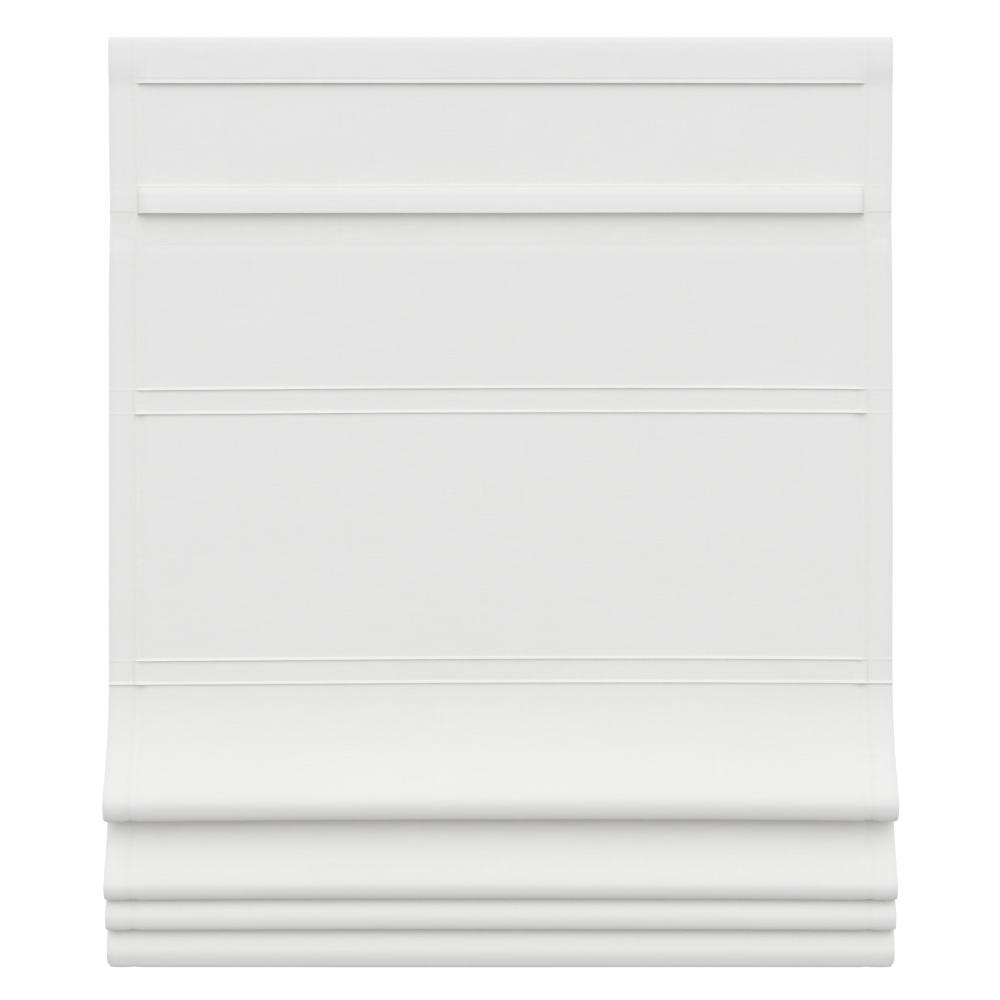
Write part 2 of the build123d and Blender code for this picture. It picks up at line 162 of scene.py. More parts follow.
def coated(name, dark, light, rough, grain, metal=0.0, bump=0.25, specular=0.5):
    """A moulded, painted or drawn finish: two close tones, a fine grain and uneven gloss."""
    finish = bpy.data.materials.new(name)
    finish.use_nodes = True
    nodes, links = finish.node_tree.nodes, finish.node_tree.links
    skin = nodes["Principled BSDF"]
    skin.inputs["Metallic"].default_value = metal
    skin.inputs["Specular IOR Level"].default_value = specular
    place = nodes.new("ShaderNodeTexCoord")
    grains = nodes.new("ShaderNodeGroup")
    grains.node_tree = pebble
    grains.inputs["Grain Size"].default_value = grain
    links.new(place.outputs["Object"], grains.inputs["Vector"])
    tone = nodes.new("ShaderNodeValToRGB")
    tone.color_ramp.elements[0].color = (*dark, 1)
    tone.color_ramp.elements[0].position = 0.3
    tone.color_ramp.elements[1].color = (*light, 1)
    tone.color_ramp.elements[1].position = 0.7
    links.new(grains.outputs["Mottle"], tone.inputs["Fac"])
    links.new(tone.outputs["Color"], skin.inputs["Base Color"])
    gloss = nodes.new("ShaderNodeMapRange")
    gloss.inputs["To Min"].default_value = rough - 0.06
    gloss.inputs["To Max"].default_value = rough + 0.08
    links.new(grains.outputs["Height"], gloss.inputs["Value"])
    links.new(gloss.outputs["Result"], skin.inputs["Roughness"])
    relief = nodes.new("ShaderNodeBump")
    relief.inputs["Strength"].default_value = bump
    relief.inputs["Distance"].default_value = 0.0004
    links.new(grains.outputs["Height"], relief.inputs["Height"])
    links.new(relief.outputs["Normal"], skin.inputs["Normal"])
    return finish


def finish_nodes(finish, *names):
    """Gives carried-over pieces their finish."""
    for name in names:
        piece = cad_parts[name]
        piece.data.materials.clear()
        piece.data.materials.append(finish)


bracket_coat = coated("bracket_coat", (0.74, 0.74, 0.73), (0.80, 0.80, 0.79), 0.42, 1400.0)
finish_nodes(bracket_coat, "wall_bracket_left", "wall_bracket_right")

# ---------------------------------------------------------------------------------------------
# Swivel latches: zinc-plated cam, neck and lever, pressed from one piece and riveted through the
# bracket. Each turns a quarter turn to let the rail go.
# ---------------------------------------------------------------------------------------------
zinc = coated("zinc_plate", (0.48, 0.49, 0.50), (0.60, 0.61, 0.62), 0.34, 700.0, metal=1.0)
finish_nodes(zinc, "bracket_latch_left", "bracket_latch_right")

# ---------------------------------------------------------------------------------------------
# Headrail: one white-coated aluminium extrusion with a lip along each top edge, closed by a
# moulded cap at each end.
# ---------------------------------------------------------------------------------------------
rail_coat = coated("rail_coat", (0.76, 0.76, 0.755), (0.81, 0.81, 0.805), 0.36, 1600.0, bump=0.12)
cap_plastic = coated("cap_plastic", (0.72, 0.72, 0.71), (0.77, 0.77, 0.76), 0.48, 2200.0)
finish_nodes(rail_coat, "headrail")
finish_nodes(cap_plastic, "headrail_end_cap_left", "headrail_end_cap_right")

# ---------------------------------------------------------------------------------------------
# Lift shaft with its spools and cradles, and the spring motor: acetal mouldings on a drawn steel
# rod, and a tempered blue-grey band coiled on the motor's arbor.
# ---------------------------------------------------------------------------------------------
acetal = coated("grey_acetal", (0.50, 0.51, 0.52), (0.57, 0.58, 0.59), 0.44, 2000.0)
drawn_steel = coated("drawn_steel", (0.50, 0.50, 0.51), (0.62, 0.62, 0.63), 0.28, 500.0, metal=1.0)
tempered = coated("tempered_band", (0.12, 0.14, 0.19), (0.22, 0.25, 0.31), 0.30, 500.0, metal=1.0)
finish_nodes(acetal, "cord_spool_left", "cord_spool_centre", "cord_spool_right", "motor_arbor",
             "spool_cradle_left", "spool_cradle_centre", "spool_cradle_right",
             "motor_housing", "motor_lid")
finish_nodes(drawn_steel, "lift_shaft")
finish_nodes(tempered, "motor_spring")

# ---------------------------------------------------------------------------------------------
# Touch tape: the hook half stuck along the rail's front, the loop half sewn along the cloth's
# back, so that the blind peels off for washing. Both are a dense short pile.
# ---------------------------------------------------------------------------------------------
tape_pile = coated("tape_pile", (0.66, 0.66, 0.65), (0.76, 0.76, 0.75), 0.92, 3800.0, bump=0.9,
                   specular=0.2)
finish_nodes(tape_pile, "hook_tape", "loop_tape")

# ---------------------------------------------------------------------------------------------
# Cloth finish: undyed off-white cotton and linen in a plain weave, about eighteen threads to the
# centimetre, with slubs that run mostly along the weft, across the blind.
# ---------------------------------------------------------------------------------------------
weave, weave_in, weave_out = effect_group(
    "plain_weave",
    [("Vector", "NodeSocketVector", None), ("Threads", "NodeSocketFloat", 1800.0)],
    [("Height", "NodeSocketFloat"), ("Slub", "NodeSocketFloat"), ("Patch", "NodeSocketFloat")],
)


def group_node(group, kind, operation=None, factor=None):
    """A node in a group, with a plain factor where a product has one."""
    node = group.nodes.new(kind)
    if operation:
        node.operation = operation
    if factor is not None:
        node.inputs[1].default_value = factor
    return node


def streaks(group, source, along, across, detail):
    """Noise drawn out along one thread direction."""
    drawn = group_node(group, "ShaderNodeMapping")
    drawn.inputs["Scale"].default_value = (along, across, 1.0)
    group.links.new(source, drawn.inputs["Vector"])
    cloud = group_node(group, "ShaderNodeTexNoise")
    cloud.inputs["Scale"].default_value = 1.0
    cloud.inputs["Detail"].default_value = detail
    cloud.inputs["Roughness"].default_value = 0.6
    group.links.new(drawn.outputs["Vector"], cloud.inputs["Vector"])
    return cloud.outputs["Fac"]


split = group_node(weave, "ShaderNodeSeparateXYZ")
weave.links.new(weave_in.outputs["Vector"], split.inputs["Vector"])
waves = []
for side in ("X", "Y"):
    turns = group_node(weave, "ShaderNodeMath", "MULTIPLY")
    weave.links.new(split.outputs[side], turns.inputs[0])
    weave.links.new(weave_in.outputs["Threads"], turns.inputs[1])
    bent = group_node(weave, "ShaderNodeMath", "MULTIPLY", factor=math.pi)
    weave.links.new(turns.outputs[0], bent.inputs[0])
    wave = group_node(weave, "ShaderNodeMath", "SINE")
    weave.links.new(bent.outputs[0], wave.inputs[0])
    waves.append(wave.outputs[0])
crossing = group_node(weave, "ShaderNodeMath", "MULTIPLY")
weave.links.new(waves[0], crossing.inputs[0])
weave.links.new(waves[1], crossing.inputs[1])
weft = streaks(weave, weave_in.outputs["Vector"], 28.0, 1500.0, 3.0)
warp = streaks(weave, weave_in.outputs["Vector"], 1300.0, 18.0, 2.0)
patch = streaks(weave, weave_in.outputs["Vector"], 5.0, 9.0, 3.0)
both_ways = group_node(weave, "ShaderNodeMath", "MULTIPLY_ADD", factor=0.45)
weave.links.new(warp, both_ways.inputs[0])
weave.links.new(weft, both_ways.inputs[2])
lifted = group_node(weave, "ShaderNodeMath", "MULTIPLY_ADD", factor=0.10)
weave.links.new(crossing.outputs[0], lifted.inputs[0])
weave.links.new(both_ways.outputs[0], lifted.inputs[2])
weave.links.new(lifted.outputs[0], weave_out.inputs["Height"])
weave.links.new(both_ways.outputs[0], weave_out.inputs["Slub"])
weave.links.new(patch, weave_out.inputs["Patch"])


def woven(name, deep, pale, bump):
    """The cloth's finish, on its own flat lengths in metres."""
    finish = bpy.data.materials.new(name)
    finish.use_nodes = True
    nodes, links = finish.node_tree.nodes, finish.node_tree.links
    skin = nodes["Principled BSDF"]
    skin.inputs["Roughness"].default_value = 0.92
    skin.inputs["Specular IOR Level"].default_value = 0.18
    skin.inputs["Sheen Weight"].default_value = 0.12
    skin.inputs["Sheen Roughness"].default_value = 0.5
    flat = nodes.new("ShaderNodeUVMap")
    flat.uv_map = "flat"
    threads = nodes.new("ShaderNodeGroup")
    threads.node_tree = weave
    links.new(flat.outputs["UV"], threads.inputs["Vector"])
    tone = nodes.new("ShaderNodeValToRGB")
    tone.color_ramp.elements[0].color = (*deep, 1)
    tone.color_ramp.elements[0].position = 0.45
    tone.color_ramp.elements[1].color = (*pale, 1)
    tone.color_ramp.elements[1].position = 1.0
    clouded = nodes.new("ShaderNodeMix")
    clouded.inputs["Factor"].default_value = 0.30
    links.new(threads.outputs["Slub"], clouded.inputs["A"])
    links.new(threads.outputs["Patch"], clouded.inputs["B"])
    links.new(clouded.outputs["Result"], tone.inputs["Fac"])
    links.new(tone.outputs["Color"], skin.inputs["Base Color"])
    relief = nodes.new("ShaderNodeBump")
    relief.inputs["Strength"].default_value = bump
    relief.inputs["Distance"].default_value = 0.0003
    links.new(threads.outputs["Height"], relief.inputs["Height"])
    links.new(relief.outputs["Normal"], skin.inputs["Normal"])
    return finish


cotton = woven("off_white_cotton", (0.784, 0.771, 0.744), (0.844, 0.831, 0.804), 0.35)

# ---------------------------------------------------------------------------------------------
# Upper cloth: one width, turned under at both sides, with a flat header band folded down over
# the front of the rail and three rib lines pinched in by the pockets behind. It runs on down the
# front of the first soft fold as far as the underside of its roll.
# ---------------------------------------------------------------------------------------------
CLOTH_HALF = cad_high.x
CLOTH_TOP = cad_high.z
CLOTH_THICK = 0.0009
CLOTH_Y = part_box("loop_tape")[0].y - 0.0005
SIDE_HEM = 0.0268
HEADER_LIP = 0.0459
HEADER_STAND = 0.0036
# each rib line's upper and lower seam, down from the top, and how far the cloth stands out
RIB_LINES = ((0.1505, 0.1782, 0.0078), (0.3584, 0.3831, 0.0020), (0.6343, 0.6586, 0.0020))


def ease(t):
    """Smooth step from 0 to 1."""
    t = min(max(t, 0.0), 1.0)
    return t * t * (3 - 2 * t)


def hump(x, at, width):
    """A soft bell of height 1."""
    return math.exp(-(((x - at) / width) ** 2))


def close_steps(start, end, coarse, seams, reach=0.0044, step=0.0004):
    """Distances from start to end, even and coarse, with close ones round each seam."""
    count = math.ceil((end - start) / coarse)
    marks = [start + (end - start) * i / count for i in range(count + 1)]
    near = [s + k * step for s in seams for k in range(-int(reach / step), int(reach / step) + 1)]
    marks = [m for m in marks if all(abs(m - s) > reach + step for s in seams) or m in (start, end)]
    return sorted(set(marks + [m for m in near if start < m < end]))


def cloth_columns():
    """Places across the cloth: even, with close ones at the side hems and the edges."""
    seams = [-(CLOTH_HALF - SIDE_HEM), CLOTH_HALF - SIDE_HEM]
    across = close_steps(-CLOTH_HALF, CLOTH_HALF, 0.0085, seams, 0.003, 0.0006)
    edge = [side * (CLOTH_HALF - inset) for side in (-1, 1) for inset in (0.0004, 0.0012, 0.003)]
    return sorted(set(across + edge))


def flat_share(x):
    """1 between the side hems and 0 in them."""
    return 1.0 - ease((abs(x) - (CLOTH_HALF - SIDE_HEM - 0.0006)) / 0.0012)


def hem_relief(x, down, seam):
    """The turned-under side hems: a shallow groove at the blind stitches, a swollen edge."""
    inset = CLOTH_HALF - abs(x)
    groove = -0.0020 * seam * hump(inset, SIDE_HEM + 0.001, 0.0042)
    pucker = 0.00006 * math.sin(down * 2 * math.pi / 0.011) * hump(inset, SIDE_HEM, 0.003)
    round_over = -0.0012 * (1 - ease(inset / 0.0036))
    return groove + pucker + round_over


def unevenness(x, down):
    """The slack that no hanging cloth is without, pulled flat where a rib is sewn in."""
    calm = 1.0
    for top, foot, _ in RIB_LINES:
        calm -= 0.8 * hump(down, (top + foot) / 2, 0.035)
    long_waves = noise.noise(Vector((x * 3.2, down * 2.1, 0.7)))
    short_waves = noise.noise(Vector((x * 9.0, down * 13.0, 4.2)))
    return calm * (0.0010 * long_waves + 0.00022 * short_waves)


def sewn_cloth(name, rows, relief, start=0.0, hems=True, thick=CLOTH_THICK, droop=None,
               columns=None, slack=1.0, seam=1.0, overhang=None):
    """A closed cloth of even thickness along side-view rows of (y, z), with its flat lengths."""
    across = columns or cloth_columns()
    downs = [start]
    for (y0, z0), (y1, z1) in zip(rows, rows[1:]):
        downs.append(downs[-1] + math.hypot(y1 - y0, z1 - z0))
    front, back = [], []
    for i, (y, z) in enumerate(rows):
        y0, z0 = rows[max(i - 1, 0)]
        y1, z1 = rows[min(i + 1, len(rows) - 1)]
        length = math.hypot(y1 - y0, z1 - z0)
        out = ((z1 - z0) / length, -(y1 - y0) / length)
        for x in across:
            waist = 1.0 - 0.0028 * hump(downs[i], 0.175, 0.05) + 0.0006 * noise.noise(
                Vector((3.0 * (x > 0), downs[i] * 9.0, 1.0)))
            lie = slack * unevenness(x, downs[i]) if hems else 0.0
            fold = droop(x, i) if droop else 0.0
            up = relief(x, downs[i]) + (hem_relief(x, downs[i], seam) if hems else 0.0)
            turned = thick * (1 - flat_share(x)) if hems else 0.0
            near = thick / 2 + up + lie
            far = -thick / 2 - turned + lie
            under = overhang(x, downs[i]) if overhang else 0.0
            front.append((x * waist, y + out[0] * near, z + out[1] * near + fold - under))
            back.append((x * waist, y + out[0] * far, z + out[1] * far + fold))
    wide, tall = len(across), len(rows)
    half = wide * tall
    faces = []
    for i in range(tall - 1):
        for j in range(wide - 1):
            a = i * wide + j
            faces.append((a, a + wide, a + wide + 1, a + 1))
            faces.append((half + a, half + a + 1, half + a + wide + 1, half + a + wide))
    for j in range(wide - 1):
        a, b = j, (tall - 1) * wide + j
        faces.append((a, a + 1, half + a + 1, half + a))
        faces.append((b + 1, b, half + b, half + b + 1))
    for i in range(tall - 1):
        a, b = i * wide, i * wide + wide - 1
        faces.append((a + wide, a, half + a, half + a + wide))
        faces.append((b, b + wide, half + b + wide, half + b))
    mesh = bpy.data.meshes.new(name)
    mesh.from_pydata(front + back, [], faces)
    flat = mesh.uv_layers.new(name="flat")
    lengths = [(x, d) for d in downs for x in across]
    for loop in mesh.loops:
        flat.data[loop.index].uv = lengths[loop.vertex_index % half]
    mesh.shade_smooth()
    mesh.materials.append(cotton)
    piece = bpy.data.objects.new(name, mesh)
    bpy.context.scene.collection.objects.link(piece)
    return piece, downs[-1] - downs[0]


def lip(down, at, stand, run, drop=0.0006):
    """A pinched edge that swells over a run and falls away at once."""
    if down <= at:
        return stand * ease((down - at + run) / run)
    return stand * (1 - ease((down - at) / drop))


def wander_at(x, down):
    """How far a hand-guided seam strays."""
    return 0.00045 * noise.noise(Vector((x * 5.0, 2.0, down * 3.0)))


def upper_relief(x, down):
    """Header band and rib lines, which die out at the side hems."""
    flat = flat_share(x)
    tapered = 1.0 - ease((abs(x) - (CLOTH_HALF - SIDE_HEM - 0.0080)) / 0.0080)
    wander = wander_at(x, down)
    bow = 0.0017 * (x / CLOTH_HALF) ** 4
    band = HEADER_STAND if down < HEADER_LIP else HEADER_STAND * (
        1 - ease((down - HEADER_LIP) / 0.0006))
    band += 0.0003 * lip(down, HEADER_LIP, 1.0, 0.0022)
    brow = 1 - math.sqrt(1 - (1 - min(down / 0.0130, 1.0)) ** 2)
    band -= 0.0004 * hump(down, HEADER_LIP - 0.0026, 0.0010)
    band -= HEADER_STAND * brow
    sloped = HEADER_STAND * (1 - ease((down - 0.026) / 0.03) - brow)
    total = tapered * band + (1 - tapered) * sloped
    top, foot, stand = RIB_LINES[0]
    fade = 0.05 + 0.95 * (1.0 - ease((abs(x) - (CLOTH_HALF - SIDE_HEM - 0.0045)) / 0.0045))
    total += fade * 0.26 * lip(down, foot, stand, foot - top - 0.004)
    total -= 0.0024 * hump(down, foot + 0.020, 0.014)
    for step in (top, top + 0.0042):
        total += fade * 0.37 * stand * ease((down - step) / 0.0014) * (down < foot)
        total += fade * 0.37 * stand * (down >= foot) * (1 - ease((down - foot) / 0.0006))
    for top, foot, stand in RIB_LINES[1:]:
        fade = 0.12 + 0.88 * flat
        total += fade * lip(down, top + wander + bow, stand, 0.0032)
        fade = 0.12 + 0.88 * flat if foot < 0.6 else 1.0
        inset = CLOTH_HALF - abs(x)
        corner = 1.0 + 1.6 * hump(inset, SIDE_HEM + 0.004, 0.0045)
        total += fade * lip(down, foot + wander + 0.6 * bow, stand * 0.95 * corner, 0.0032)
        if top < down < foot:
            total -= 0.0026 * hump(inset, SIDE_HEM, 0.0014) * ease((down - top) / 0.006)
    return total


def upper_overhang(x, down):
    """The front of the header's and the first rib's edges droops over what is below."""
    edges = ((HEADER_LIP, 0.0019), (RIB_LINES[0][1], 0.0023))
    return sum(drop * hump(down, edge, 0.0028) * flat_share(x)
               for edge, drop in edges if down <= edge)


def upper_stray(x, down):
    """The two edges stray a little, and the left side hangs lower."""
    stray = sum(1.4 * wander_at(x, edge) * hump(down, edge, 0.012)
                for edge in (HEADER_LIP, RIB_LINES[0][1]))
    lean = ease(0.25 - x / CLOTH_HALF) * ease(down / 0.55) * (1 - 0.5 * ease((down - 0.66) / 0.1))
    return stray + 0.0016 * lean


def fold_line(start, reach, bottom, deep, tall, swell, end):
    """Side view of a soft fold: its front with the front of its oval roll, and its back.

    Heights are down from the top. The front swells by a power, or by (forward, fall) shares.
    """
    fall = bottom - tall - start
    count = math.ceil(fall / 0.0022)
    front = []
    for i in range(count + 1):
        share = i / count
        if isinstance(swell, tuple):
            (f0, d0), (f1, d1) = [pair for pair in zip(swell, swell[1:]) if pair[1][1] >= share][0]
            forward = f0 + (f1 - f0) * (share - d0) / (d1 - d0)
        else:
            forward = share ** swell
        front.append((CLOTH_Y - reach * forward, CLOTH_TOP - start - fall * share))
    centre_y, centre_z = CLOTH_Y - reach + deep, CLOTH_TOP - bottom + tall
    bend = [(centre_y - deep * math.cos(a), centre_z - tall * math.sin(a))
            for a in [math.radians(d) for d in range(5, 91, 5)]]
    blended = front + bend
    for _ in range(5 if isinstance(swell, tuple) else 14):
        middle = [((a[0] + 2 * b[0] + c[0]) / 4, (a[1] + 2 * b[1] + c[1]) / 4)
                  for a, b, c in zip(blended, blended[1:], blended[2:])]
        blended = [blended[0]] + middle + [blended[-1]]

    # the back leaves the oval where a straight line to the next rib just touches it
    end_y, end_z = CLOTH_Y - 0.0013, CLOTH_TOP - end
    flat_y, flat_z = (end_y - centre_y) / deep, (end_z - centre_z) / tall
    turn = math.atan2(flat_z, flat_y) - math.acos(1 / math.hypot(flat_y, flat_z))
    angles = [-math.pi / 2 + (turn + math.pi / 2) * k / 10 for k in range(11)]
    rear = [(centre_y + deep * math.cos(a), centre_z + tall * math.sin(a)) for a in angles]
    y0, z0 = rear[-1]
    rise = [(y0 + (end_y - y0) * k / 30, z0 + (end_z - z0) * k / 30) for k in range(1, 31)]
    return blended, rear + rise


FOLDS = (
    dict(start=0.6615, reach=0.0386, bottom=0.7937, deep=0.0120, tall=0.0210, end=0.7097,
         swell=1.95),
    dict(start=0.7360, reach=0.0325, bottom=0.8749, deep=0.0106, tall=0.0180, end=0.7947,
         swell=2.30),
    dict(start=0.8210, reach=0.0224, bottom=0.9071, deep=0.0073, tall=0.0150, end=0.8307,
         swell=((0.0, 0.0), (0.20, 0.27), (0.40, 0.535), (0.46, 0.63), (0.52, 0.70), (0.59, 0.755),
                (0.69, 0.80), (0.80, 0.85), (0.91, 0.90), (0.98, 0.95), (1.0, 1.0))),
)
FOLD_NAMES = ("first", "second", "third")


def bowed(rows, first, amount):
    """The ends of a fold hang a little lower than its middle."""
    count = max(len(rows) - 1 - first, 1)
    return lambda x, i: -amount * abs(x / CLOTH_HALF) ** 3 * ease((i - first) / count)


def hung_back(amount):
    """Behind a roll the ends' extra drop dies out on the way up."""
    return lambda x, i: -amount * abs(x / CLOTH_HALF) ** 3 * (1 - ease((i - 6) / 22))


upper_seams = [HEADER_LIP] + [line for top, foot, _ in RIB_LINES for line in (top, foot)]
ROUNDED_TOP = 0.0075
upper_rows = [(CLOTH_Y, CLOTH_TOP - ROUNDED_TOP * (k / 12) ** 2) for k in range(12)]
upper_rows += [(CLOTH_Y, CLOTH_TOP - d)
               for d in close_steps(ROUNDED_TOP, FOLDS[0]["start"], 0.0065, upper_seams)]
fold_front, _ = fold_line(**FOLDS[0])
first_front_row = len(upper_rows)
upper_rows += fold_front[1:]
fold_bow = bowed(upper_rows, first_front_row, 0.0024)
upper_cloth, upper_length = sewn_cloth(
    "upper_cloth", upper_rows, upper_relief,
    droop=lambda x, i: fold_bow(x, i) - upper_stray(x, CLOTH_TOP - upper_rows[i][1]),
    overhang=upper_overhang)
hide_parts("cloth_upper", "cloth_fold_1")
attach(upper_cloth, "headrail_and_upper_cloth")

# ---------------------------------------------------------------------------------------------
# Backs of the three folds: the same cloth, coming up behind each roll to the next rib. They open
# as the ribs below go down; here each is built in its folded rest shape.
# ---------------------------------------------------------------------------------------------
fold_bodies = ("headrail_and_upper_cloth", "rib_4", "rib_5", "bottom_bar")


def plain_relief(x, down):
    """Cloth with nothing sewn into it."""
    return 0.0


# cloth between the end of one fold's back and the start of the next one's
FRONT_LENGTHS = (0.0, 0.141, 0.095)
POCKET_LENGTH = 0.026
END_DROPS = (0.0024, 0.0018, 0.0012)
cloth_so_far = upper_length
for number, fold in enumerate(FOLDS):
    _, back_rows = fold_line(**fold)
    cloth_so_far += FRONT_LENGTHS[number]
    back_cloth, back_length = sewn_cloth(
        f"{FOLD_NAMES[number]}_fold_back", back_rows, plain_relief, start=cloth_so_far,
        droop=hung_back(END_DROPS[number]), slack=0.25 if number else 1.0)
    cloth_so_far += back_length + POCKET_LENGTH
    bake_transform(back_cloth)

# ---------------------------------------------------------------------------------------------
# Cloth over the fourth and fifth ribs: down in front of the gathered rib, then forward into the
# next soft fold as far as the underside of its roll.
# ---------------------------------------------------------------------------------------------
for number in (1, 2):
    rib_top = CLOTH_TOP - FOLDS[number - 1]["end"]
    front_rows, _ = fold_line(**FOLDS[number])
    over = [(CLOTH_Y - 0.0013, rib_top), (CLOTH_Y - 0.0010, rib_top + 0.0005),
            (CLOTH_Y - 0.0003, rib_top + 0.0004), (CLOTH_Y, rib_top - 0.0003)]
    drop = over[-1][1] - (CLOTH_TOP - FOLDS[number]["start"])
    down = [(CLOTH_Y, over[-1][1] - drop * k / 8) for k in range(1, 9)]
    rows = over + down + front_rows[1:]
    fold_cloth, fold_length = sewn_cloth(
        f"{FOLD_NAMES[number]}_fold_front", rows, plain_relief, start=1.0 + number, slack=0.25,
        seam=0.55, droop=bowed(rows, len(over) + len(down), END_DROPS[number]))
    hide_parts(f"cloth_fold_{number + 1}")
    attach(fold_cloth, fold_bodies[number])

# ---------------------------------------------------------------------------------------------
# Bottom panel: from the lowest rib it swells forward to the hem, which is turned up round the
# bottom bar and sewn along its upper edge behind.
# ---------------------------------------------------------------------------------------------
# the panel's side line from rib to hem and up the back, as (forward, down from the top)
hem_front = ((0.0013, 0.8307), (0.0010, 0.8302), (0.0003, 0.8303), (0.0, 0.8310), (0.0, 0.8400),
             (0.0, 0.8500), (0.0, 0.8570), (0.0003, 0.8680), (0.0011, 0.8800), (0.0022, 0.8910),
             (0.0034, 0.8985), (0.0043, 0.9032), (0.0052, 0.9068), (0.0065, 0.9098),
             (0.0079, 0.9130), (0.0098, 0.9175), (0.0114, 0.9232), (0.0122, 0.9275),
             (0.0124, 0.9312), (0.0120, 0.9346), (0.0111, 0.9378), (0.0099, 0.9408),
             (0.0086, 0.9438), (0.0072, 0.9462), (0.0055, 0.9476), (0.0040, 0.9466),
             (0.0032, 0.9430), (0.0029, 0.9380), (0.0032, 0.9320), (0.0042, 0.9265),
             (0.0060, 0.9215), (0.0080, 0.9175))


def rounded_rows(points, pitch):
    """Even rows along a smooth line through (forward, drop) points."""
    dense = []
    for i in range(len(points) - 1):
        p = [Vector(points[max(0, min(len(points) - 1, i + k))]) for k in (-1, 0, 1, 2)]
        for k in range(8):
            t = k / 8
            bend = 2 * p[0] - 5 * p[1] + 4 * p[2] - p[3]
            twist = 3 * p[1] - p[0] - 3 * p[2] + p[3]
            dense.append(0.5 * (2 * p[1] + (p[2] - p[0]) * t + bend * t * t + twist * t ** 3))
    dense.append(Vector(points[-1]))
    rows, left = [dense[0]], 0.0
    for a, b in zip(dense, dense[1:]):
        left += (b - a).length
        if left >= pitch:
            rows.append(b)
            left = 0.0
    return [(CLOTH_Y - forward, CLOTH_TOP - drop) for forward, drop in rows]


hem_rows = rounded_rows(hem_front, 0.0013)


def rounded_corners(x, i):
    """The hem's lower corners, drawn up where its ends are sewn shut."""
    low = ease((CLOTH_TOP - 0.9330 - hem_rows[i][1]) / 0.0120)
    return 0.0030 * low * ease((abs(x) - CLOTH_HALF + 0.0050) / 0.0050) ** 2


bottom_cloth, bottom_length = sewn_cloth(
    "bottom_cloth", hem_rows, plain_relief, start=4.0, droop=rounded_corners, slack=0.25, seam=0.2)
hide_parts("cloth_bottom")
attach(bottom_cloth, "bottom_bar")

# ---------------------------------------------------------------------------------------------
# Rib pockets: strips of the same cloth sewn flat on the back, open at both ends, one for each
# rib. The ribs are pultruded strips slid in from the side.
# ---------------------------------------------------------------------------------------------
rib_plastic = coated("rib_plastic", (0.70, 0.70, 0.67), (0.78, 0.78, 0.75), 0.5, 800.0)
finish_nodes(rib_plastic, *[f"rib_slat_{n}" for n in range(1, 7)])
rib_bodies = ("headrail_and_upper_cloth",) * 3 + ("rib_4", "rib_5", "bottom_bar")
pocket_base = CLOTH_Y + 1.5 * CLOTH_THICK
pocket_columns = [0.9958 * x for x in cloth_columns()]
for number in range(6):
    slat_low, slat_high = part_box(f"rib_slat_{number + 1}")
    top, foot = slat_high.z + 0.0030, slat_low.z - 0.0010
    stand = 0.0036
    path = ((0.0004, top), (0.0009, top - 0.0002), (0.0020, top - 0.0012), (0.0032, top - 0.0030),
            (stand, top - 0.0060), (stand, (top + foot) / 2), (stand, foot + 0.0040),
            (stand - 0.0002, foot + 0.0016), (stand - 0.0012, foot + 0.0002),
            (0.0016, foot - 0.0002), (0.0004, foot - 0.0003))
    strip_rows = [(pocket_base + out * 0.78, z) for out, z in reversed(path)]
    pocket, pocket_length = sewn_cloth(
        f"rib_pocket_{number + 1}", strip_rows, plain_relief, start=6.0 + number, hems=False,
        thick=0.0007, columns=pocket_columns)
    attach(pocket, rib_bodies[number])

# ---------------------------------------------------------------------------------------------
# Seams on the back: lockstitches along both edges of every pocket, wider ones down the side hems
# and along the bottom hem, in a cotton thread a little darker than the cloth.
# ---------------------------------------------------------------------------------------------
thread = coated("sewing_thread", (0.62, 0.61, 0.58), (0.72, 0.71, 0.68), 0.75, 9000.0, bump=0.6,
                specular=0.2)


def node_tree(name, inputs):
    """An empty geometry tree, with a mesh in and out, and its named inputs by identifier."""
    tree = bpy.data.node_groups.new(name, "GeometryNodeTree")
    tree.interface.new_socket(name="Geometry", in_out="INPUT", socket_type="NodeSocketGeometry")
    sockets = {}
    for label, kind in inputs:
        made = tree.interface.new_socket(name=label, in_out="INPUT", socket_type=kind)
        sockets[label] = made.identifier
    tree.interface.new_socket(name="Geometry", in_out="OUTPUT", socket_type="NodeSocketGeometry")
    return tree, sockets, tree.nodes.new("NodeGroupInput"), tree.nodes.new("NodeGroupOutput")


def close_tree(tree, given, result, geometry):
    """Ends a tree: copies made real, shaded smooth and given their material."""
    real = tree.nodes.new("GeometryNodeRealizeInstances")
    smooth = tree.nodes.new("GeometryNodeSetShadeSmooth")
    painted = tree.nodes.new("GeometryNodeSetMaterial")
    tree.links.new(geometry, real.inputs["Geometry"])
    tree.links.new(real.outputs["Geometry"], smooth.inputs["Geometry"])
    tree.links.new(smooth.outputs["Geometry"], painted.inputs["Geometry"])
    tree.links.new(given.outputs["Material"], painted.inputs["Material"])
    tree.links.new(painted.outputs["Geometry"], result.inputs["Geometry"])


def grown(name, points, edges, tree, sockets, values):
    """Runs a tree on a few points or lines and keeps what it makes as a plain mesh."""
    seed_mesh = bpy.data.meshes.new(name + "_path")
    seed_mesh.from_pydata(points, edges, [])
    seed_object = bpy.data.objects.new(name + "_path", seed_mesh)
    bpy.context.scene.collection.objects.link(seed_object)
    growth = seed_object.modifiers.new("growth", "NODES")
    growth.node_group = tree
    for label, value in values.items():
        growth[sockets[label]] = value
    evaluated = seed_object.evaluated_get(bpy.context.evaluated_depsgraph_get())
    mesh = bpy.data.meshes.new_from_object(evaluated)
    mesh.name = name
    seed_object.modifiers.remove(growth)
    bpy.data.objects.remove(seed_object)
    piece = bpy.data.objects.new(name, mesh)
    bpy.context.scene.collection.objects.link(piece)
    return piece


